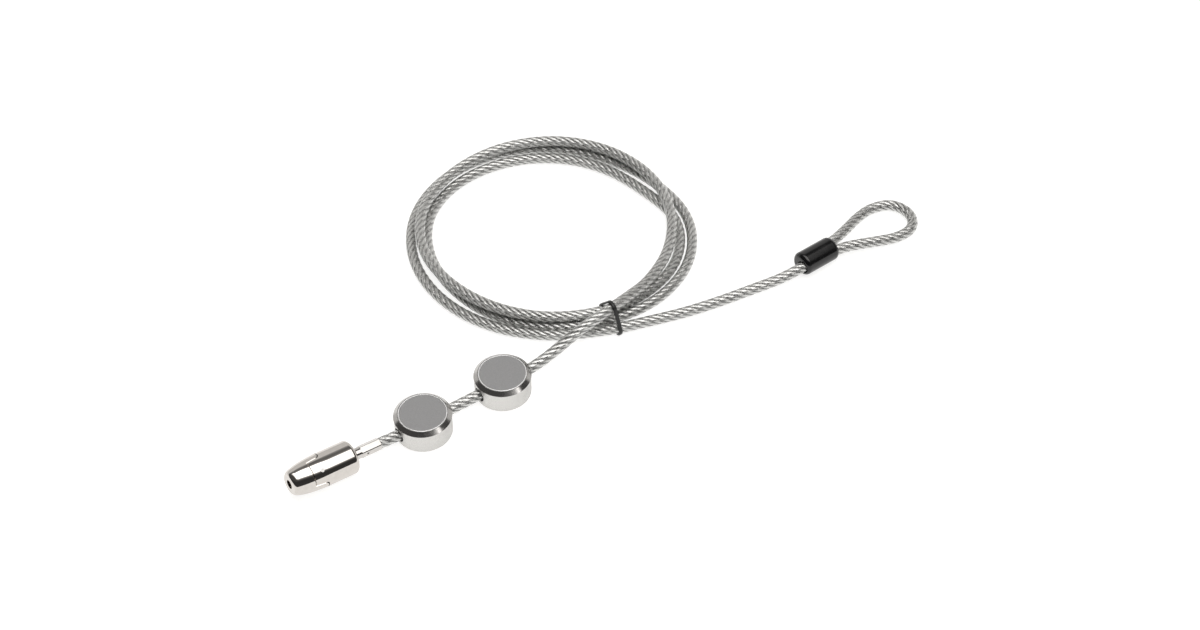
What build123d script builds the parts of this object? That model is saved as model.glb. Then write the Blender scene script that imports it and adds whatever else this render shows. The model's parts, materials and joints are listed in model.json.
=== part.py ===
from build123d import *
import math
import os

# Laptop cable lock: a keyed bullet lock head on a swaged stud, a jacketed
# wire rope coiled and tied, two cable traps threaded on it, and an eye loop
# closed by a sleeved ferrule.
# Millimetres. +Z up, the surface it lies on is Z = 0. +X runs along the
# straight stretch of cable from the lock head through both traps.
# The origin is on the surface, midway between the head's tip and the far
# edge of the second trap.

os.makedirs("parts", exist_ok=True)


def save(shape, name):
    export_step(shape, "parts/" + name + ".step")


# ---------------------------------------------------------------- dimensions
CABLE_R = 2.75            # jacketed rope
ROPE_R = 2.2              # bare rope
AXIS_Z = 5.5              # cable height where it runs through the traps

# lock head, s measured from the tip along its axis
HEAD_LEN = 32.4
HEAD_PITCH = 6.0          # degrees, the tip is higher than the rear
HEAD_YAW = 2.2            # degrees, the tip lies towards -Y
REAR_X, REAR_Y, REAR_Z = -31.64, -0.47, 7.87
TONGUE_ANGLE = 40.0       # of the rear shell's tongue, from the top towards -Y
SEAM_S = 9.4              # front edge of the tongues
TAB_S = 15.9              # rear edge of the nose shell's tabs
TAB_HALF = 5.3            # half width of a tab
SEAM_GAP = 0.36
TIP_HOLE_R = 2.1
BARREL_R, PLUG_R = 5.3, 3.3
FLANGE_R = 6.35
BALL_R = 1.2
BALL_S = 21.5
BALL_OUT = 3.74           # ball centre, released
BALL_TRAVEL = 0.72
CUP_R, CUP_BORE = 5.75, 4.25
CAGE_R, CAGE_BORE = 4.15, 2.55
SPIGOT_R, NECK_R = 2.45, 2.75
BUSH_R, BUSH_BORE = 4.42, 2.80
NECK_END_S = 36.6
CRIMP_END_S = 46.6
CRIMP_FLATS = 5.4
CRIMP_ANGLE = 88.0        # of the flat with the witness hole

# cable traps
TRAP_X = (6.1, 49.5)
TRAP_R = 13.35
TRAP_RIM_R = 13.63
TRAP_RIM_Z, TRAP_TOP_Z = 10.7, 12.5
TRAP_WALL_R = 11.4
LINER_R, LINER_BORE = 3.45, 3.05
TRAP_BORE = 3.5
POST_R = 5.5
NOTCH_X, NOTCH_W, NOTCH_Z = 4.6, 4.3, 5.0

# coil
COIL_C = (124.0, 72.0)
COIL_OUT, COIL_IN, COIL_H = 73.6, 58.8, 10.4
TIE_X = 115.0

# eye sleeve
SLEEVE_P = (213.2, -18.1, 6.1)
SLEEVE_YAW = 2.5
SLEEVE_R, SLEEVE_L = 6.1, 21.5
FERRULE_L = 15.0
LEG = 2.25                # bare rope legs either side of the sleeve's axis
LEG_OUT = 2.8             # jacketed legs where they leave the sleeve
TAIL_IN = -1.8            # tail where it enters the sleeve

head_loc = Location((REAR_X, REAR_Y, REAR_Z), (0, 0, HEAD_YAW)) * Location((0, 0, 0), (0, HEAD_PITCH, 0))


def hx(s):
    """Head-frame x of the station s from the tip."""
    return s - HEAD_LEN


def head_point(s):
    t, w = math.radians(HEAD_PITCH), math.radians(HEAD_YAW)
    d = s - HEAD_LEN
    return (
        REAR_X + d * math.cos(t) * math.cos(w),
        REAR_Y + d * math.cos(t) * math.sin(w),
        REAR_Z - d * math.sin(t),
    )


def cyl(s0, s1, r):
    """Cylinder about the head's axis, in the head frame."""
    return Pos(hx((s0 + s1) / 2), 0, 0) * Rot(0, 90, 0) * Cylinder(r, s1 - s0)


def tube_h(s0, s1, r, bore):
    return cyl(s0, s1, r) - cyl(s0 - 1, s1 + 1, bore)


def radial(s, r0, r1, rad, ang):
    """Cylinder standing radially out of the head's axis; ang 0 is up, 90 is -Y."""
    return Rot(ang, 0, 0) * (Pos(hx(s), 0, (r0 + r1) / 2) * Cylinder(rad, r1 - r0))


def one(shape):
    """The largest solid of a result."""
    return max(shape.solids(), key=lambda q: q.volume)


# ------------------------------------------------------------ head casings
with BuildPart() as outer:
    with BuildSketch(Plane.XZ):
        with BuildLine():
            front = Polyline((hx(0), 0), (hx(0), 4.75))
            ogive = TangentArc((hx(17.5), 8.1), (hx(8.2), 7.56), tangent=(-1, 0))
            ogive = TangentArc(ogive @ 1, (hx(2.4), 6.36), tangent=ogive % 1)
            ogive = TangentArc(ogive @ 1, (hx(1.1), 5.85), tangent=ogive % 1)
            TangentArc(ogive @ 1, (hx(0), 4.75), tangent=ogive % 1)
            back = Polyline((hx(17.5), 8.1), (-2.0, 8.1))
            RadiusArc((-2.0, 8.1), (0, 6.1), 2.0)
            Polyline((0, 6.1), (0, 0), (hx(0), 0))
        make_face()
    revolve(axis=Axis.X)
bullet = one(outer.part)

cavity = (
    cyl(-1, 1.7, TIP_HOLE_R) + cyl(1.6, 12.6, BARREL_R + 0.05)
    + cyl(12.55, 28.2, FLANGE_R + 0.05) + cyl(28.15, 31.4, BUSH_R + 0.08)
    + cyl(31.3, 34.0, NECK_R + 0.25)
)
shell = bullet - cavity


def nose_zone(grow):
    """Everything that belongs to the nose shell: a ring up to the seam and
    two rounded tabs that reach back between the rear shell's tongues."""
    zone = cyl(-2, SEAM_S + grow, 12)
    for a in (TONGUE_ANGLE + 90, TONGUE_ANGLE - 90):
        length = TAB_S - SEAM_S + 3
        flat = RectangleRounded(length + 2 * grow, 2 * (TAB_HALF + grow), 1.4)
        tab = extrude(flat, amount=12)
        zone += Rot(a, 0, 0) * (Pos(hx(TAB_S - length / 2), 0, 1.0) * tab)
    return zone


nose = one(shell & nose_zone(-SEAM_GAP / 2))
rear = one(shell - nose_zone(SEAM_GAP / 2))
pin_holes = radial(14.0, 5.2, 9, 1.0, TONGUE_ANGLE) + radial(14.0, 5.2, 9, 1.0, TONGUE_ANGLE + 180)
rear = one(rear - pin_holes)
save(head_loc * nose, "head_nose_shell")
save(head_loc * rear, "head_rear_shell")

dowel = radial(14.0, 5.25, 7.99, 0.98, TONGUE_ANGLE)
dowel2 = radial(14.0, 5.25, 7.99, 0.98, TONGUE_ANGLE + 180)
save(head_loc * Compound([one(dowel), one(dowel2)]), "head_retaining_pins")

# --------------------------------------------------------- key cylinder
PIN_S = (4.0, 5.8, 7.6, 9.4)
barrel = tube_h(1.75, 15.4, BARREL_R, PLUG_R + 0.06) + tube_h(12.65, 15.4, FLANGE_R, PLUG_R + 0.06)
for s in PIN_S:
    barrel -= radial(s, 3.0, 6.5, 0.66, 0)
barrel -= pin_holes
save(head_loc * one(barrel), "plug_barrel")

plug = cyl(1.8, 15.4, PLUG_R) + Pos(hx(16.16), 0, 0) * Box(1.84, 3.6, 3.6)
plug -= cyl(0, 11.0, 1.6)
plug -= Pos(hx(3.5), 0, -1.2) * Box(9.4, 0.9, 2.4)       # key's guide slot
for s in PIN_S:
    plug -= radial(s, 1.0, 4, 0.66, 0)
plug -= cyl(13.4, 18, 0.62)
save(head_loc * one(plug), "key_plug")

save(head_loc * Compound([one(radial(s, 1.75, 3.22, 0.6, 0)) for s in PIN_S]), "key_pins")
save(head_loc * Compound([one(radial(s, 3.45, 4.3, 0.6, 0)) for s in PIN_S]), "driver_pins")
springs = []
for s in PIN_S:
    coil = radial(s, 4.32, 5.28, 0.58, 0) - radial(s, 4.0, 6.0, 0.38, 0)
    springs.append(one(coil))
save(head_loc * Compound(springs), "pin_springs")

# ---------------------------------------------------------- latch parts
cup = cyl(15.5, 25.0, CUP_R) - cyl(17.1, 26, CUP_BORE)
cup -= Pos(hx(16.2), 0, 0) * Box(3.0, 3.64, 3.64)
for base in (0, 180):
    for k in range(-2, 10):
        deep = BALL_OUT + BALL_R + 0.1 - BALL_TRAVEL * max(0, k - 1) * 10 / 90
        deep = max(deep, CUP_BORE + 0.01)
        step = Pos(hx(BALL_S), 0, (deep + 3.0) / 2) * Box(2.9, 1.6, deep - 3.0)
        cup -= Rot(base - k * 10, 0, 0) * step
save(head_loc * one(cup), "drive_cup")

screw = cyl(17.14, 18.3, 1.9) + cyl(13.6, 17.2, 0.58)
screw -= Pos(hx(18.1), 0, 0) * Box(0.8, 3.0, 0.5)
save(head_loc * one(screw), "cup_screw")

cage = tube_h(18.5, 25.4, CAGE_R, CAGE_BORE) + tube_h(25.3, 28.1, FLANGE_R, CAGE_BORE)
for a in (0, 180):
    cage -= radial(BALL_S, 1, 5, BALL_R + 0.06, a)
save(head_loc * one(cage), "latch_cage")
save(head_loc * one(tube_h(25.03, 25.27, 5.7, CAGE_R + 0.1)), "cage_thrust_washer")

for name, a in (("latch_ball_a", 0), ("latch_ball_b", 180)):
    ball = Rot(a, 0, 0) * (Pos(hx(BALL_S), 0, BALL_OUT) * Sphere(BALL_R))
    save(head_loc * ball, name)

bush = tube_h(28.25, 31.3, BUSH_R, BUSH_BORE)
save(head_loc * one(bush), "stud_bush")

# --------------------------------------------------- stud on the cable's end
with BuildPart() as stud_b:
    with BuildSketch(Plane.XZ):
        with BuildLine():
            Polyline(
                (hx(19.4), 0), (hx(19.4), 1.55), (hx(20.0), SPIGOT_R), (hx(20.3), SPIGOT_R),
                (hx(20.85), 1.75), (hx(22.15), 1.75), (hx(22.7), SPIGOT_R),
                (hx(28.2), SPIGOT_R), (hx(28.4), NECK_R), (hx(NECK_END_S + 0.2), NECK_R),
                (hx(NECK_END_S + 0.2), 0), (hx(19.4), 0),
            )
        make_face()
    revolve(axis=Axis.X)
hexagon = RegularPolygon(CRIMP_FLATS / 2, 6, major_radius=False)
crimp = extrude(hexagon, amount=CRIMP_END_S - NECK_END_S)
crimp = Pos(hx(NECK_END_S), 0, 0) * Rot(CRIMP_ANGLE - 30, 0, 0) * Rot(0, 90, 0) * crimp
ends = cyl(NECK_END_S - 0.01, CRIMP_END_S + 0.01, 3.0)
crimp = crimp & ends
stud = one(stud_b.part) + crimp
stud -= cyl(37.6, 50, ROPE_R)
stud -= radial(39.4, 1.0, 4.0, 0.5, CRIMP_ANGLE)   # witness hole
save(head_loc * one(stud), "swaged_stud")
save(head_loc * one(cyl(37.7, CRIMP_END_S, ROPE_R)), "stud_rope_end")

# ------------------------------------------------------------------- traps
for n, x0 in enumerate(TRAP_X, start=1):
    at = Pos(x0, 0, 0)
    bore = Pos(0, 0, AXIS_Z) * Rot(0, 90, 0) * Cylinder(TRAP_BORE, 40)

    body = Pos(0, 0, (0.6 + TRAP_RIM_Z) / 2) * Cylinder(TRAP_R, TRAP_RIM_Z - 0.6)
    body -= Pos(0, 0, 1.8 + 6) * Cylinder(TRAP_WALL_R, 12)
    body -= bore
    for sx in (-1, 1):
        body -= Pos(sx * NOTCH_X, 12, NOTCH_Z + 5) * Box(NOTCH_W, 12, 10)
    save(at * one(body), f"trap_{n}_body")

    with BuildPart() as cap_b:
        with BuildSketch(Plane.XZ):
            with BuildLine():
                Polyline(
                    (0, 9.4), (TRAP_WALL_R - 0.03, 9.4), (TRAP_WALL_R - 0.03, TRAP_RIM_Z + 0.02),
                    (TRAP_RIM_R, TRAP_RIM_Z + 0.02), (TRAP_RIM_R, TRAP_RIM_Z + 0.17),
                    (11.75, TRAP_TOP_Z), (11.5, TRAP_TOP_Z), (11.5, 11.7), (0, 11.7), (0, 9.4),
                )
            make_face()
        revolve(axis=Axis.Z)
    cap = one(cap_b.part) - Pos(0, 0, 10.5) * Cylinder(2.5, 4)
    save(at * one(cap), f"trap_{n}_cap")

    post = Pos(0, 0, (1.82 + 9.4) / 2) * Cylinder(POST_R, 7.58)
    post += Pos(0, 0, 10.3) * Cylinder(2.5, 2.6)
    post -= bore
    save(at * one(post), f"trap_{n}_post")

    bezel = Pos(0, 0, 12.15) * (Cylinder(11.47, 0.9) - Cylinder(10.85, 2))
    bezel = fillet(bezel.edges().sort_by(Axis.Z)[-2:], 0.29)
    save(at * one(bezel), f"trap_{n}_bezel")
    save(at * (Pos(0, 0, 12.05) * Cylinder(10.82, 0.7)), f"trap_{n}_inlay")

    liner = Pos(0, 0, AXIS_Z) * Rot(0, 90, 0) * (Cylinder(LINER_R, 25.6) - Cylinder(LINER_BORE, 30))
    save(at * one(liner), f"trap_{n}_liner")
    save(at * (Pos(0, 0, 0.3) * Cylinder(12.2, 0.6)), f"trap_{n}_foot_pad")

# --------------------------------------------------------------- eye sleeve
sleeve_loc = Location(SLEEVE_P, (0, 0, SLEEVE_YAW))


def sleeve_point(x, y, z=0.0):
    t = math.radians(SLEEVE_YAW)
    return (
        SLEEVE_P[0] + x * math.cos(t) - y * math.sin(t),
        SLEEVE_P[1] + x * math.sin(t) + y * math.cos(t),
        SLEEVE_P[2] + z,
    )


def along(x0, x1, r, y):
    return Pos((x0 + x1) / 2, y, 0) * Rot(0, 90, 0) * Cylinder(r, x1 - x0)


FER0 = (SLEEVE_L - FERRULE_L) / 2
FER1 = FER0 + FERRULE_L


def stadium(x0, x1, r):
    return along(x0, x1, r, LEG) + along(x0, x1, r, -LEG) + Pos((x0 + x1) / 2, 0, 0) * Box(x1 - x0, 2 * LEG, 2 * r)


cover = along(0, SLEEVE_L, SLEEVE_R, 0)
cover = fillet(cover.edges().filter_by(GeomType.CIRCLE), 2.4)
cover -= stadium(FER0 - 0.03, FER1 + 0.03, 3.05)
cover -= along(-1, FER0 + 0.1, 3.3, TAIL_IN)
cover -= along(FER1 - 0.1, SLEEVE_L + 1, CABLE_R + 0.1, LEG_OUT) + along(FER1 - 0.1, SLEEVE_L + 1, CABLE_R + 0.1, -LEG_OUT)
save(sleeve_loc * one(cover), "loop_sleeve")
ferrule = stadium(FER0, FER1, 3.0) - along(-1, SLEEVE_L + 1, ROPE_R, LEG) - along(-1, SLEEVE_L + 1, ROPE_R, -LEG)
save(sleeve_loc * Compound([one(ferrule)]), "loop_ferrule")
legs = Compound([one(along(FER0, FER1, ROPE_R - 0.01, -LEG)), one(along(FER0, FER1, ROPE_R - 0.01, LEG))])
save(sleeve_loc * legs, "eye_rope_legs")

# ------------------------------------------------------------------- cable
def cord_tube(points, name, cut=None):
    """Straight runs joined by tangent arcs; each arc as large as its runs allow."""
    p = [Vector(*q) for q in points]
    radii = []
    for a, b, c in zip(p, p[1:], p[2:]):
        u, v = b - a, c - b
        turn = math.radians(u.get_angle(v))
        radii.append(0.45 * min(u.length, v.length) / math.tan(turn / 2))
    path = FilletPolyline(*p, radius=radii)
    start = Plane(origin=p[0], z_dir=(p[1] - p[0]).normalized())
    wire = path if isinstance(path, Wire) else Wire(path.edges())
    solid = sweep(start * Circle(CABLE_R), path=wire)
    length = sum(e.length for e in wire.edges())
    print(name, "radii", [round(r, 1) for r in radii],
          "runs", [round((b - a).length, 1) for a, b in zip(p, p[1:])],
          "length", round(length, 1), "volume ratio",
          round(solid.volume / (math.pi * CABLE_R ** 2 * length), 4))
    if cut is not None:
        solid -= cut
    save(one(solid), name)
    return length


HEAD_RUN = [
    head_point(CRIMP_END_S), (-6.9, 0.0, AXIS_Z), (66.0, 0.0, AXIS_Z),
    (82.0, 2.0, 7.4), (96.0, 2.6, 12.8), (107.0, 2.9, 14.3), (118.0, 5.0, 14.1), (127.0, 8.6, 11.6),
]
TAIL_RUN = [
    (117.0, 1.0, 2.75), (131.0, -4.3, 2.75), (149.0, -9.6, 2.75), (169.0, -13.3, 2.75),
    (186.0, -16.0, 3.3), sleeve_point(-10.5, TAIL_IN, -0.35), sleeve_point(FER0 - 0.1, TAIL_IN),
]
EYE_LOOP = [
    sleeve_point(FER1 + 0.05, -LEG_OUT), sleeve_point(SLEEVE_L + 2.6, -LEG_OUT - 0.1, -0.05),
    (247.0, -22.4, 5.4), (257.5, -25.6, 4.3), (268.6, -28.4, 3.1),
    (280.0, -27.4, 2.75), (286.0, -18.2, 2.75), (282.6, -7.2, 2.75), (271.5, -3.7, 2.9),
    (260.5, -6.0, 4.0), (249.6, -10.3, 5.2), sleeve_point(SLEEVE_L + 2.6, LEG_OUT + 0.1, -0.05),
    sleeve_point(FER1 + 0.05, LEG_OUT),
]
# the first run is trimmed square to the head's axis where it meets the stud
l1 = cord_tube(HEAD_RUN, "cable_head_run", head_loc * cyl(CRIMP_END_S - 3, CRIMP_END_S, 4))
l2 = cord_tube(TAIL_RUN, "cable_tail_run")
l3 = cord_tube(EYE_LOOP, "cable_eye_loop")
print("free tube lengths", round(l1 + l2 + l3, 1))

coil = Pos(*COIL_C, COIL_H / 2) * (Cylinder(COIL_OUT, COIL_H) - Cylinder(COIL_IN, COIL_H + 2))
coil = fillet(coil.edges().filter_by(GeomType.CIRCLE), 2.6)

# rubber band round the four strands where they cross
BAND_Y0, BAND_Y1, BAND_Z1, BAND_T, BAND_W = -2.6, 14.9, 18.4, 1.5, 1.8
band_o = RectangleRounded(BAND_Y1 - BAND_Y0 + 2 * BAND_T, BAND_Z1, 4.5)
band_i = RectangleRounded(BAND_Y1 - BAND_Y0, BAND_Z1 - 2 * BAND_T, 3.0)
band = extrude(Plane.YZ * (band_o - band_i), amount=BAND_W / 2, both=True)
band = Pos(TIE_X, (BAND_Y0 + BAND_Y1) / 2, BAND_Z1 / 2) * band
groove = Pos(TIE_X, (BAND_Y0 + BAND_Y1) / 2, 0) * Box(BAND_W + 0.1, 30, 8.0)
coil -= groove
save(one(coil), "cable_coil")
save(one(band), "coil_tie_band")
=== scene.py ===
import bpy, bmesh, math
import numpy as np
from mathutils import Vector, Matrix
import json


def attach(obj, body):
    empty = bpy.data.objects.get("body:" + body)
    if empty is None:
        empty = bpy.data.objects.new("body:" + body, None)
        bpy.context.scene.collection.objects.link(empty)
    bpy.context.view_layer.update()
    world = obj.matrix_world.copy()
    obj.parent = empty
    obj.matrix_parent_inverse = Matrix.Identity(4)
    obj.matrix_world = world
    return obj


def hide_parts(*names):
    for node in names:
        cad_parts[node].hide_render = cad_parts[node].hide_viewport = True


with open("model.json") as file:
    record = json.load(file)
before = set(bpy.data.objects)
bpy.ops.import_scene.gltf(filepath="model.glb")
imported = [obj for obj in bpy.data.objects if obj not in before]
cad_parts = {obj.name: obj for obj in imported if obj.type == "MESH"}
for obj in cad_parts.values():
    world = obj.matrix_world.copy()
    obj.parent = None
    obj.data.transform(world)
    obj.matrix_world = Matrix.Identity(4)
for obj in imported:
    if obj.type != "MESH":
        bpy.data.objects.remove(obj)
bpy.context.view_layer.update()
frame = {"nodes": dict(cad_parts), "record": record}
scene = bpy.context.scene
MM = 0.001

# ------------------------------------------------------------------ camera
cam_data = bpy.data.cameras.new("camera")
cam = bpy.data.objects.new("camera", cam_data)
scene.collection.objects.link(cam)
cam.location = (-0.2584, -0.5286, 0.690)
cam.rotation_euler = (math.radians(43.7), 0, math.radians(-34.5))
cam_data.lens = 58.5
cam_data.sensor_width = 36
cam_data.clip_start, cam_data.clip_end = 0.01, 50
scene.camera = cam

# ------------------------------------------------- the cable's route (metres)
PITCH, YAW = math.radians(6.0), math.radians(2.2)


def head_point(s, r=0.0, ang=0.0):
    """Station s (mm from the tip) on the head's axis, r mm out at ang degrees
    from the top towards -Y."""
    d = s - 32.4
    a = math.radians(ang)
    x, y, z = d, -r * math.sin(a), r * math.cos(a)
    x, z = x * math.cos(PITCH) + z * math.sin(PITCH), -x * math.sin(PITCH) + z * math.cos(PITCH)
    return (
        (-31.64 + x * math.cos(YAW) - y * math.sin(YAW)) * MM,
        (-0.47 + x * math.sin(YAW) + y * math.cos(YAW)) * MM,
        (7.87 + z) * MM,
    )


SLEEVE_P, SLEEVE_YAW = (213.2, -18.1, 6.1), math.radians(2.5)
FER0, FER1, SLEEVE_L = 3.25, 18.25, 21.5


def sleeve_point(x, y, z=0.0):
    return (
        (SLEEVE_P[0] + x * math.cos(SLEEVE_YAW) - y * math.sin(SLEEVE_YAW)) * MM,
        (SLEEVE_P[1] + x * math.sin(SLEEVE_YAW) + y * math.cos(SLEEVE_YAW)) * MM,
        (SLEEVE_P[2] + z) * MM,
    )


def mm(points):
    return [(x * MM, y * MM, z * MM) for x, y, z in points]


HEAD_RUN = [head_point(46.6)] + mm([
    (-9.5, 0.0, 5.5), (-1.5, 0.0, 5.5), (52.0, 0.0, 5.5), (66.0, 0.0, 5.5), (82.0, 2.0, 7.4), (96.0, 2.6, 12.8),
    (107.0, 2.9, 14.3), (118.0, 5.0, 14.1), (127.6, 8.0, 11.9),
])
COIL = mm([
    (142.8, 12.7, 9.29), (165.0, 25.5, 8.20), (182.9, 47.6, 8.26), (190.2, 75.4, 8.33),
    (183.9, 105.0, 7.98), (164.4, 128.0, 8.15), (135.8, 139.3, 8.44), (105.1, 137.2, 8.29),
    (78.2, 123.1, 8.15), (62.6, 97.9, 8.15), (60.9, 68.9, 8.28), (69.9, 42.1, 8.21),
    (87.8, 20.9, 8.26), (113.5, 9.3, 7.33), (142.2, 9.9, 4.18), (168.9, 21.8, 2.79),
    (185.8, 45.8, 2.75), (183.0, 74.9, 2.75), (176.1, 100.8, 2.75), (159.2, 121.9, 2.75),
    (134.3, 133.9, 2.75), (106.0, 134.1, 2.75), (80.7, 121.0, 2.75), (65.8, 96.4, 2.75),
    (62.7, 68.5, 2.75), (69.2, 41.7, 2.75), (87.0, 19.8, 2.75), (113.1, 5.9, 3.5),
    (143.6, 4.0, 2.75), (173.0, 17.0, 2.75), (191.5, 43.3, 2.75), (192.1, 75.2, 2.75),
    (182.4, 104.3, 2.75), (163.5, 128.2, 2.75), (135.7, 142.0, 2.75), (103.9, 141.8, 2.75),
    (75.4, 126.7, 2.75), (57.7, 99.8, 2.75), (53.7, 68.3, 2.75), (63.1, 38.3, 2.75),
    (84.6, 14.5, 2.75),
])
TAIL_RUN = mm([
    (112.9, 0.5, 3.5), (131.0, -4.3, 2.75), (149.0, -9.6, 2.75), (169.0, -13.3, 2.75), (186.0, -16.0, 3.3),
]) + [sleeve_point(-10.5, -1.8, -0.35), sleeve_point(FER0 - 0.1, -1.8)]
EYE_LOOP = [sleeve_point(FER1 + 0.05, -2.8), sleeve_point(24.1, -2.9, -0.05)] + mm([
    (247.0, -22.4, 5.4), (257.5, -25.6, 4.3), (268.6, -28.4, 3.1), (280.0, -27.4, 2.75),
    (286.0, -18.2, 2.75), (282.6, -7.2, 2.75), (271.5, -3.7, 2.9), (260.5, -6.0, 4.0), (249.6, -10.3, 5.2),
]) + [sleeve_point(24.1, 2.9, -0.05), sleeve_point(FER1 + 0.05, 2.8)]


def route(points, name, res=24):
    """The route's own smooth line: a NURBS spline through its control points, read as points."""
    cu = bpy.data.curves.new(name, "CURVE")
    cu.dimensions = "3D"
    sp = cu.splines.new("NURBS")
    sp.points.add(len(points) - 1)
    for p, q in zip(sp.points, points):
        p.co = (*q, 1.0)
    sp.order_u = 3
    sp.use_endpoint_u = True
    sp.resolution_u = res
    cu.resolution_u = res
    ob = bpy.data.objects.new(name, cu)
    scene.collection.objects.link(ob)
    bpy.context.view_layer.update()
    me = bpy.data.meshes.new_from_object(ob.evaluated_get(bpy.context.evaluated_depsgraph_get()))
    out = np.array([v.co[:] for v in me.vertices])
    bpy.data.meshes.remove(me)
    bpy.data.objects.remove(ob)
    bpy.data.curves.remove(cu)
    return out


def resample(p, step):
    seg = np.linalg.norm(np.diff(p, axis=0), axis=1)
    keep = np.r_[True, seg > 1e-9]
    p = p[keep]
    arc = np.r_[0, np.cumsum(np.linalg.norm(np.diff(p, axis=0), axis=1))]
    n = max(2, int(round(arc[-1] / step)) + 1)
    t = np.linspace(0, arc[-1], n)
    return np.stack([np.interp(t, arc, p[:, k]) for k in range(3)], 1), t


def frames(p):
    """Unit tangents and a frame that turns as little as it can along the points."""
    t = np.gradient(p, axis=0)
    t /= np.linalg.norm(t, axis=1)[:, None]
    n = np.zeros_like(p)
    up = np.array([0, 0, 1.0])
    n0 = up - t[0] * (up @ t[0])
    n[0] = n0 / np.linalg.norm(n0)
    for i in range(1, len(p)):
        v = n[i - 1] - t[i] * (n[i - 1] @ t[i])
        n[i] = v / np.linalg.norm(v)
    return t, n, np.cross(t, n)


def mesh_object(name, verts, faces, smooth=True):
    me = bpy.data.meshes.new(name)
    me.from_pydata([tuple(v) for v in verts], [], faces)
    me.validate()
    me.update()
    if smooth:
        me.polygons.foreach_set("use_smooth", [True] * len(me.polygons))
    ob = bpy.data.objects.new(name, me)
    scene.collection.objects.link(ob)
    return ob


def loft(rings, cap=True):
    """Vertices and faces of a tube through equal rings of points."""
    n, k = len(rings), len(rings[0])
    verts = np.concatenate(rings)
    faces = []
    for i in range(n - 1):
        a, b = i * k, (i + 1) * k
        for j in range(k):
            j2 = (j + 1) % k
            faces.append((a + j, a + j2, b + j2, b + j))
    if cap:
        faces.append(tuple(range(k - 1, -1, -1)))
        faces.append(tuple((n - 1) * k + j for j in range(k)))
    return verts, faces


# the clear jacket magnifies what it covers, so the rope is seen filling it
ROPE_R, JACKET_R, LAY = 2.70 * MM, 2.75 * MM, 25.0 * MM


def rope_section():
    """Six strands round the rope: each a low crown between two valleys."""
    pts, along = [], []
    for k in range(6):
        for j in range(8):
            v = (j + 0.5) / 4 - 1                       # -1 .. 1 across the strand
            a = math.radians(60 * k + 30 * v)
            r = ROPE_R - 0.40 * MM * abs(v) ** 2.4
            pts.append((r * math.cos(a), r * math.sin(a)))
            along.append(1.65 * v)
    return np.array(pts), np.array(along)


def rope(name, path, phase=0.0, step=1.0 * MM):
    """Six outer strands laid right-handed round the path."""
    p, s = resample(path, step)
    t, n, b = frames(p)
    sec, ang = rope_section()
    rings = []
    for i in range(len(p)):
        w = phase + 2 * math.pi * s[i] / LAY
        x = sec[:, 0] * math.cos(w) - sec[:, 1] * math.sin(w)
        y = sec[:, 0] * math.sin(w) + sec[:, 1] * math.cos(w)
        rings.append(p[i] + np.outer(x, n[i]) + np.outer(y, b[i]))
    verts, faces = loft(rings)
    ob = mesh_object(name, verts, faces)
    # place along the rope and round each strand, for the wires in the material and for its painted shade in the
    # grooves and the valleys between strands
    at = ob.data.attributes.new("wire", "FLOAT_VECTOR", "POINT")
    data = np.zeros((len(verts), 3), np.float32)
    data[:, 0] = np.tile(ang, len(p))
    data[:, 1] = np.repeat(s, len(sec)) * 1000
    data[:, 2] = np.tile(np.repeat(np.arange(6), 8), len(p))
    at.data.foreach_set("vector", data.ravel())
    return ob


def jacket(name, path, k=20, step=1.6 * MM):
    p, s = resample(path, step)
    t, n, b = frames(p)
    a = np.linspace(0, 2 * math.pi, k, endpoint=False)
    ca, sa = np.cos(a), np.sin(a)
    rings = [p[i] + JACKET_R * (np.outer(ca, n[i]) + np.outer(sa, b[i])) for i in range(len(p))]
    verts, faces = loft(rings, cap=False)
    return mesh_object(name, verts, faces), p


# --------------------------------------------------------------- materials
def new_mat(name):
    m = bpy.data.materials.new(name)
    m.use_nodes = True
    nt = m.node_tree
    nt.nodes.clear()
    out = nt.nodes.new("ShaderNodeOutputMaterial")
    bsdf = nt.nodes.new("ShaderNodeBsdfPrincipled")
    nt.links.new(bsdf.outputs[0], out.inputs[0])
    return m, nt, bsdf


def node(nt, kind, **kw):
    n = nt.nodes.new(kind)
    for k, v in kw.items():
        setattr(n, k, v)
    return n


def noise(nt, scale, detail=2.0, coord="Object", stretch=None):
    tc = node(nt, "ShaderNodeTexCoord")
    src = tc.outputs[coord]
    if stretch:
        mp = node(nt, "ShaderNodeMapping")
        mp.inputs["Scale"].default_value = stretch
        nt.links.new(src, mp.inputs["Vector"])
        src = mp.outputs[0]
    nz = node(nt, "ShaderNodeTexNoise")
    nz.inputs["Scale"].default_value = scale
    nz.inputs["Detail"].default_value = detail
    nt.links.new(src, nz.inputs["Vector"])
    return nz.outputs["Fac"]


def ramp(nt, fac, lo, hi, p0=0.3, p1=0.7):
    r = node(nt, "ShaderNodeValToRGB")
    r.color_ramp.elements[0].position, r.color_ramp.elements[1].position = p0, p1
    r.color_ramp.elements[0].color = (*lo, 1) if hasattr(lo, "__len__") else (lo, lo, lo, 1)
    r.color_ramp.elements[1].color = (*hi, 1) if hasattr(hi, "__len__") else (hi, hi, hi, 1)
    nt.links.new(fac, r.inputs[0])
    return r.outputs[0]


def bump(nt, bsdf, height, strength, dist):
    b = node(nt, "ShaderNodeBump")
    b.inputs["Strength"].default_value = strength
    b.inputs["Distance"].default_value = dist
    nt.links.new(height, b.inputs["Height"])
    nt.links.new(b.outputs[0], bsdf.inputs["Normal"])


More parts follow.
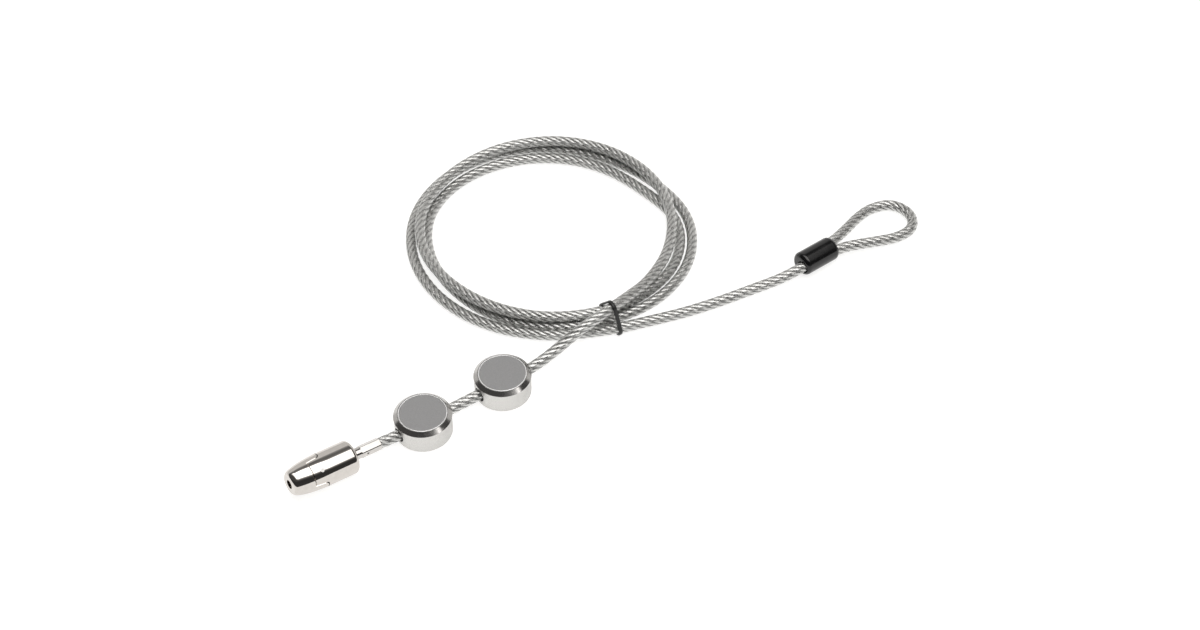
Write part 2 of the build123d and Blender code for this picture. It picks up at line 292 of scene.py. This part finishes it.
def metal(name, col, col2, rough, rough2, scale=900, stretch=None, bump_s=0.0, detail=3):
    m, nt, b = new_mat(name)
    b.inputs["Metallic"].default_value = 1.0
    f = noise(nt, scale, detail, stretch=stretch)
    nt.links.new(ramp(nt, f, col, col2), b.inputs["Base Color"])
    f2 = noise(nt, scale * 0.37, detail, stretch=stretch)
    nt.links.new(ramp(nt, f2, rough, rough2), b.inputs["Roughness"])
    if bump_s:
        bump(nt, b, f, bump_s, 0.00002)
    return m


def plastic(name, col, col2, rough, rough2, scale=600, bump_s=0.05, dist=0.00003, coat=0.0):
    m, nt, b = new_mat(name)
    f = noise(nt, scale, 3)
    nt.links.new(ramp(nt, f, col, col2), b.inputs["Base Color"])
    f2 = noise(nt, scale * 0.3, 2)
    nt.links.new(ramp(nt, f2, rough, rough2), b.inputs["Roughness"])
    b.inputs["Coat Weight"].default_value = coat
    b.inputs["Coat Roughness"].default_value = 0.04
    if bump_s:
        bump(nt, b, f, bump_s, dist)
    return m


M = {}
M["polished_nickel"] = metal("polished_nickel", (0.575, 0.545, 0.515), (0.615, 0.585, 0.555), 0.03, 0.065, 500)
M["satin_nickel"] = metal("satin_nickel", (0.54, 0.52, 0.50), (0.62, 0.60, 0.58), 0.07, 0.15, 700, stretch=(0.3, 1, 1), bump_s=0.1)
M["bright_pin"] = metal("bright_pin", (0.93, 0.92, 0.90), (0.98, 0.97, 0.96), 0.42, 0.52, 1500)
M["brass"] = metal("brass", (0.62, 0.46, 0.20), (0.74, 0.58, 0.28), 0.2, 0.35, 900)
M["spring_steel"] = metal("spring_steel", (0.45, 0.45, 0.45), (0.6, 0.6, 0.6), 0.25, 0.4, 900)
M["zinc"] = metal("zinc", (0.42, 0.42, 0.41), (0.52, 0.52, 0.51), 0.4, 0.55, 800, bump_s=0.2)
M["ball_steel"] = metal("ball_steel", (0.8, 0.8, 0.8), (0.88, 0.88, 0.88), 0.04, 0.08, 900)
M["crimp_aluminium"] = metal("crimp_aluminium", (0.65, 0.65, 0.65), (0.78, 0.78, 0.78), 0.3, 0.45, 900, bump_s=0.2)


def knurl_material():
    m, nt, b = new_mat("knurled_aluminium")
    b.inputs["Metallic"].default_value = 1.0
    f = noise(nt, 1600, 3)
    base = ramp(nt, f, (0.74, 0.73, 0.71), (0.82, 0.81, 0.79))
    # painted shade: the knurl's valleys are darkened in the colour by the tooth height
    at = node(nt, "ShaderNodeAttribute", attribute_type="GEOMETRY", attribute_name="knurl_valley_shade")
    mix = node(nt, "ShaderNodeMix", data_type="RGBA", blend_type="MULTIPLY")
    mix.inputs["Factor"].default_value = 1.0
    nt.links.new(base, mix.inputs["A"])
    nt.links.new(ramp(nt, at.outputs["Fac"], 0.38, 1.0, 0.0, 0.55), mix.inputs["B"])
    nt.links.new(mix.outputs["Result"], b.inputs["Base Color"])
    nt.links.new(ramp(nt, f, 0.28, 0.40), b.inputs["Roughness"])
    return m


M["knurled_aluminium"] = knurl_material()
M["turned_aluminium"] = metal("turned_aluminium", (0.56, 0.55, 0.53), (0.62, 0.61, 0.59), 0.26, 0.38, 1600)
M["dark_cap"] = metal("dark_cap", (0.44, 0.43, 0.42), (0.52, 0.51, 0.50), 0.13, 0.21, 1400, stretch=(1, 1, 0.2))
M["bright_ring"] = metal("bright_ring", (0.97, 0.97, 0.97), (0.99, 0.99, 0.99), 0.46, 0.58, 900)
M["satin_inlay"] = metal("satin_inlay", (0.40, 0.40, 0.405), (0.48, 0.48, 0.485), 0.36, 0.46, 2600, bump_s=0.3, detail=5)
M["black_liner"] = plastic("black_liner", (0.012, 0.012, 0.012), (0.03, 0.03, 0.03), 0.5, 0.65)
M["black_rubber"] = plastic("black_rubber", (0.007, 0.007, 0.007), (0.014, 0.014, 0.014), 0.36, 0.52, 900, bump_s=0.3)
M["black_gloss"] = plastic("black_gloss", (0.004, 0.004, 0.0045), (0.007, 0.007, 0.0075), 0.13, 0.20, 350, bump_s=0.03, coat=0.0)
M["white_print"] = plastic("white_print", (0.80, 0.80, 0.80), (0.88, 0.88, 0.88), 0.4, 0.5, 900)
M["grey_print"] = plastic("grey_print", (0.28, 0.28, 0.29), (0.36, 0.36, 0.37), 0.4, 0.5, 900)


def rope_material():
    m, nt, b = new_mat("rope_steel")
    b.inputs["Metallic"].default_value = 1.0
    at = node(nt, "ShaderNodeAttribute", attribute_type="GEOMETRY", attribute_name="wire")
    sep = node(nt, "ShaderNodeSeparateXYZ")
    nt.links.new(at.outputs["Vector"], sep.inputs[0])
    # seven wires to a strand, laid the other way: six show round its outside
    a = node(nt, "ShaderNodeMath", operation="MULTIPLY"); a.inputs[1].default_value = 6.0
    nt.links.new(sep.outputs["X"], a.inputs[0])
    s = node(nt, "ShaderNodeMath", operation="MULTIPLY"); s.inputs[1].default_value = 2 * math.pi / 1.55
    nt.links.new(sep.outputs["Y"], s.inputs[0])
    ad = node(nt, "ShaderNodeMath", operation="ADD")
    nt.links.new(a.outputs[0], ad.inputs[0]); nt.links.new(s.outputs[0], ad.inputs[1])
    si = node(nt, "ShaderNodeMath", operation="SINE")
    nt.links.new(ad.outputs[0], si.inputs[0])
    ab = node(nt, "ShaderNodeMath", operation="ABSOLUTE")
    half = node(nt, "ShaderNodeMath", operation="MULTIPLY"); half.inputs[1].default_value = 0.5
    nt.links.new(ad.outputs[0], half.inputs[0]); nt.links.new(half.outputs[0], si.inputs[0])
    nt.links.new(si.outputs[0], ab.inputs[0])
    bump(nt, b, ab.outputs[0], 0.55, 0.00012)
    f = noise(nt, 420, 3)
    base = ramp(nt, f, (0.66, 0.66, 0.645), (0.80, 0.80, 0.785))
    # painted shade: the grooves between wires are darkened in the colour
    mix = node(nt, "ShaderNodeMix", data_type="RGBA", blend_type="MULTIPLY")
    mix.inputs["Factor"].default_value = 1.0
    nt.links.new(base, mix.inputs["A"])
    nt.links.new(ramp(nt, ab.outputs[0], 0.52, 1.0, 0.0, 0.45), mix.inputs["B"])
    # and painted shade darkens the valleys between strands in the colour
    va = node(nt, "ShaderNodeMath", operation="ABSOLUTE")
    nt.links.new(sep.outputs["X"], va.inputs[0])
    strand_valley_shade = node(nt, "ShaderNodeMapRange")
    strand_valley_shade.interpolation_type = "SMOOTHSTEP"
    strand_valley_shade.inputs["From Min"].default_value = 0.75
    strand_valley_shade.inputs["From Max"].default_value = 1.45
    strand_valley_shade.inputs["To Min"].default_value = 1.0
    strand_valley_shade.inputs["To Max"].default_value = 0.16
    nt.links.new(va.outputs[0], strand_valley_shade.inputs["Value"])
    mix2 = node(nt, "ShaderNodeMix", data_type="RGBA", blend_type="MULTIPLY")
    mix2.inputs["Factor"].default_value = 1.0
    nt.links.new(mix.outputs["Result"], mix2.inputs["A"])
    nt.links.new(strand_valley_shade.outputs["Result"], mix2.inputs["B"])
    nt.links.new(mix2.outputs["Result"], b.inputs["Base Color"])
    nt.links.new(ramp(nt, f, 0.24, 0.36), b.inputs["Roughness"])
    return m


M["rope_steel"] = rope_material()


def jacket_material():
    m, nt, b = new_mat("clear_jacket")
    b.inputs["Base Color"].default_value = (0.55, 0.55, 0.54, 1)
    b.inputs["Roughness"].default_value = 0.12
    b.inputs["IOR"].default_value = 1.54
    b.inputs["Alpha"].default_value = 0.10
    return m


M["cable_jacket"] = jacket_material()

for n, ob in frame["nodes"].items():
    slot = next(r["material_slot"] for r in frame["record"]["subparts"] if r["node"] == n)
    ob.data.materials.clear()
    ob.data.materials.append(M["turned_aluminium" if slot == "knurled_aluminium" else slot])


def shade(ob, angle=30):
    """Smooth shading on a CAD piece's curved faces; nothing moves."""
    me = ob.data
    if not me.polygons or any(o.use_smooth for o in list(me.polygons)[:50]):
        return
    me.shade_smooth()
    me.set_sharp_from_angle(angle=math.radians(angle))


# --------------------------------------------------------------- the cable
main_path = route(HEAD_RUN + COIL + TAIL_RUN, "route_main")
loop_path = route(EYE_LOOP, "route_loop")

strands = rope("cable_strands", main_path, phase=0.3)
strands.data.materials.append(M["rope_steel"])
skin, skin_path = jacket("cable_jacket_main", main_path)
skin.data.materials.append(M["cable_jacket"])
strands_loop = rope("loop_strands", loop_path, phase=1.1)
strands_loop.data.materials.append(M["rope_steel"])
skin_loop, skin_loop_path = jacket("cable_jacket_loop", loop_path, step=1.2 * MM)
skin_loop.data.materials.append(M["cable_jacket"])
for o in (strands, skin, strands_loop, skin_loop):
    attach(o, "cable")
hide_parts("cable_head_run", "cable_coil", "cable_tail_run")
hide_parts("cable_eye_loop")

# ---------------------------------------------------------- the coil's tie
def tie_band():
    """A flat rubber band drawn tight round the four strands at x = 115 mm."""
    X = 0.115
    idx = [i for i in range(len(main_path) - 1)
           if (main_path[i, 0] - X) * (main_path[i + 1, 0] - X) <= 0 and main_path[i, 1] < 0.04]
    centres = [main_path[i, 1:] for i in idx]
    th = np.linspace(0, 2 * math.pi, 49)[:-1]
    cloud = np.array([c + (JACKET_R + 0.02 * MM) * np.array([math.cos(a), math.sin(a)]) for c in centres for a in th])
    # convex hull
    pts = sorted(map(tuple, cloud))
    def half(ps):
        out = []
        for q in ps:
            while len(out) > 1 and (out[-1][0] - out[-2][0]) * (q[1] - out[-2][1]) - (out[-1][1] - out[-2][1]) * (q[0] - out[-2][0]) <= 0:
                out.pop()
            out.append(q)
        return out[:-1]
    hull = np.array(half(pts) + half(pts[::-1]))
    closed = np.vstack([hull, hull[:1]])
    arc = np.r_[0, np.cumsum(np.linalg.norm(np.diff(closed, axis=0), axis=1))]
    t = np.linspace(0, arc[-1], 161)[:-1]
    loop = np.stack([np.interp(t, arc, closed[:, k]) for k in (0, 1)], 1)
    tan = np.roll(loop, -1, 0) - np.roll(loop, 1, 0)
    tan /= np.linalg.norm(tan, axis=1)[:, None]
    out = np.stack([tan[:, 1], -tan[:, 0]], 1)
    W, T = 2.0 * MM, 1.1 * MM
    # rounded-rectangle section: across x, outwards from the hull
    sec = []
    for cx, cy, a0 in ((1, 1, 0), (-1, 1, 90), (-1, -1, 180), (1, -1, 270)):
        for a in (0, 30, 60, 90):
            r = 0.5 * MM
            sec.append((cx * (W / 2 - r) + r * math.cos(math.radians(a0 + a)), T / 2 + cy * (T / 2 - r) + r * math.sin(math.radians(a0 + a))))
    rings = []
    for i in range(len(loop)):
        # the band leans a little, as a hand-wound band does
        lean = 0.35 * MM * math.sin(2 * math.pi * i / len(loop) + 0.6)
        rings.append(np.array([(X + sx + lean, loop[i, 0] + so * out[i, 0], loop[i, 1] + so * out[i, 1]) for sx, so in sec]))
    k = len(sec)
    verts = np.concatenate(rings)
    faces = []
    for i in range(len(rings)):
        a, b = i * k, ((i + 1) % len(rings)) * k
        for j in range(k):
            faces.append((a + j, b + j, b + (j + 1) % k, a + (j + 1) % k))
    ob = mesh_object("tie_band", verts, faces)
    print("tie centres", [tuple(round(float(v) * 1000, 2) for v in c) for c in centres], "lowest", round(float(verts[:, 2].min()) * 1000, 2))
    return ob


tie = tie_band()
tie.data.materials.append(M["black_rubber"])
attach(tie, "cable")
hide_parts("coil_tie_band")

# ------------------------------------------------------- knurl on the traps
TRAP_X = (6.1, 49.5)


def knurl(name, x0):
    """A fine diagonal knurl round the trap's wall, open at the cable's holes and the notches."""
    R0, TOP, BOT = 13.37, 10.68, 0.72
    NU, NV = 720, 44
    teeth, rise = 120, 0.36
    us = np.linspace(0, 2 * math.pi, NU, endpoint=False)
    zs = np.linspace(BOT, TOP, NV)
    verts, ok, knurl_shade_mask = [], [], []
    for z in zs:
        for u in us:
            s = R0 * u
            p1 = teeth * u + z * teeth / R0 * 0.9
            p2 = teeth * u - z * teeth / R0 * 0.9
            d = 0.5 * (max(math.cos(p1), 0) + 0.35 * max(math.cos(p2), 0))
            edge = min(1.0, (z - BOT) / 0.45, (TOP - z) / 0.25)
            r = R0 - 0.06 + 0.24 * d * max(edge, 0)
            if z in (zs[0], zs[-1]):
                r = R0 - 0.1
            verts.append((x0 + r * math.cos(u), r * math.sin(u), z))
            # tooth height per point: the mask for the painted shade in the knurl's valleys
            knurl_shade_mask.append(min(1.0, 1.5 * d) if r > R0 - 0.09 else 0.0)
            y, x = r * math.sin(u), r * math.cos(u)
            hole = math.hypot(y, z - 5.5) < 3.56
            notch = y > 0 and abs(abs(x) - 4.6) < 2.2 and z > 4.95
            ok.append(not (hole or notch))
    faces = []
    for j in range(NV - 1):
        for i in range(NU):
            q = (j * NU + i, j * NU + (i + 1) % NU, (j + 1) * NU + (i + 1) % NU, (j + 1) * NU + i)
            if all(ok[v] for v in q):
                faces.append(q)
    ob = mesh_object(name, np.array(verts) * MM, faces)
    # stored for the painted shade in the knurl's valleys
    at = ob.data.attributes.new("knurl_valley_shade", "FLOAT", "POINT")
    at.data.foreach_set("value", np.array(knurl_shade_mask, np.float32))
    bm = bmesh.new()
    bm.from_mesh(ob.data)
    bmesh.ops.delete(bm, geom=[v for v in bm.verts if not v.link_faces], context="VERTS")
    bm.to_mesh(ob.data)
    bm.free()
    return ob


for n, x0 in enumerate(TRAP_X, start=1):
    k = knurl(f"trap_{n}_knurl", x0)
    k.data.materials.append(M["knurled_aluminium"])
    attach(k, f"trap_{n}")

# ------------------------------------------------------------------- stage
bpy.ops.mesh.primitive_plane_add(size=8, location=(0, 0, 0))
floor = bpy.context.object
floor.name = "floor"
fm, fnt, fb = new_mat("floor")
fb.inputs["Base Color"].default_value = (0.46, 0.46, 0.458, 1)
fb.inputs["Emission Color"].default_value = (1.0, 0.995, 0.985, 1)
fb.inputs["Emission Strength"].default_value = 0.82
fb.inputs["Roughness"].default_value = 0.8
fb.inputs["Specular IOR Level"].default_value = 0.1
floor.data.materials.append(fm)

world = bpy.data.worlds.new("studio")
scene.world = world
world.use_nodes = True
wn = world.node_tree
wn.nodes.clear()
wout = wn.nodes.new("ShaderNodeOutputWorld")
bg = wn.nodes.new("ShaderNodeBackground")
wn.links.new(bg.outputs[0], wout.inputs[0])
tc = wn.nodes.new("ShaderNodeTexCoord")
dot = wn.nodes.new("ShaderNodeVectorMath"); dot.operation = "DOT_PRODUCT"
dot.inputs[1].default_value = (-0.566, -0.824, 0.0)      # towards the front of the studio
wn.links.new(tc.outputs["Generated"], dot.inputs[0])
sepw = wn.nodes.new("ShaderNodeSeparateXYZ")
wn.links.new(tc.outputs["Generated"], sepw.inputs[0])
at2 = wn.nodes.new("ShaderNodeMath"); at2.operation = "ARCTAN2"
wn.links.new(dot.outputs["Value"], at2.inputs[0])
wn.links.new(sepw.outputs["Z"], at2.inputs[1])
mr = wn.nodes.new("ShaderNodeMapRange")
mr.inputs["From Min"].default_value = -math.pi
mr.inputs["From Max"].default_value = math.pi
wn.links.new(at2.outputs[0], mr.inputs["Value"])
cr = wn.nodes.new("ShaderNodeValToRGB")
wn.links.new(mr.outputs[0], cr.inputs[0])


def stop(deg):
    return (deg + 180) / 360


stops = [(-180, 0.80), (-95, 0.80), (-47, 0.82), (-42, 0.34), (-36, 0.17), (-27, 0.20), (-21, 0.42), (-18, 3.1),
         (25, 3.1), (29, 1.0), (33, 0.30), (40, 0.09), (50, 0.045), (87, 0.05), (93, 0.60), (180, 0.80)]
els = cr.color_ramp.elements
while len(els) < len(stops):
    els.new(0.5)
for e, (d, v) in zip(els, stops):
    e.position = stop(d)
    e.color = (v, v * 0.985, v * 0.965, 1)

# the softbox is no wider than it is: dark past its two ends
side = wn.nodes.new("ShaderNodeValToRGB")
els = side.color_ramp.elements
sides = [(-0.30, 0.0), (-0.20, 1.0), (0.42, 1.0), (0.54, 0.0)]
while len(els) < len(sides):
    els.new(0.5)
for e, (x, v) in zip(els, sides):
    e.position = (x + 1) / 2
    e.color = (v, v, v, 1)
half = wn.nodes.new("ShaderNodeMath"); half.operation = "MULTIPLY_ADD"
half.inputs[1].default_value, half.inputs[2].default_value = 0.5, 0.5
wn.links.new(sepw.outputs["X"], half.inputs[0])
wn.links.new(half.outputs[0], side.inputs[0])
low = wn.nodes.new("ShaderNodeMix"); low.data_type = "RGBA"; low.blend_type = "DARKEN"
low.inputs["Factor"].default_value = 1.0
wn.links.new(cr.outputs[0], low.inputs["A"])
low.inputs["B"].default_value = (0.09, 0.088, 0.085, 1)
# behind and overhead the walls stay grey all the way round
wall = wn.nodes.new("ShaderNodeMapRange")
wall.inputs["From Min"].default_value = stop(-46)
wall.inputs["From Max"].default_value = stop(-48)
wn.links.new(mr.outputs[0], wall.inputs["Value"])
keep = wn.nodes.new("ShaderNodeMath"); keep.operation = "MAXIMUM"
wn.links.new(side.outputs[0], keep.inputs[0])
wn.links.new(wall.outputs[0], keep.inputs[1])
both = wn.nodes.new("ShaderNodeMix"); both.data_type = "RGBA"
wn.links.new(keep.outputs[0], both.inputs["Factor"])
wn.links.new(low.outputs["Result"], both.inputs["A"])
wn.links.new(cr.outputs[0], both.inputs["B"])
wn.links.new(both.outputs["Result"], bg.inputs["Color"])
# seen directly, past the floor's edge, the backdrop is plain and pale
pale = wn.nodes.new("ShaderNodeBackground")
pale.inputs["Color"].default_value = (1.0, 0.995, 0.985, 1)
ray = wn.nodes.new("ShaderNodeLightPath")
seen = wn.nodes.new("ShaderNodeMixShader")
wn.links.new(ray.outputs["Is Camera Ray"], seen.inputs[0])
wn.links.new(bg.outputs[0], seen.inputs[1])
wn.links.new(pale.outputs[0], seen.inputs[2])
wn.links.new(seen.outputs[0], wout.inputs[0])
bg.inputs["Strength"].default_value = 1.0

scene.view_settings.view_transform = "Standard"
scene.view_settings.look = "None"
scene.view_settings.exposure = 0.0

import json
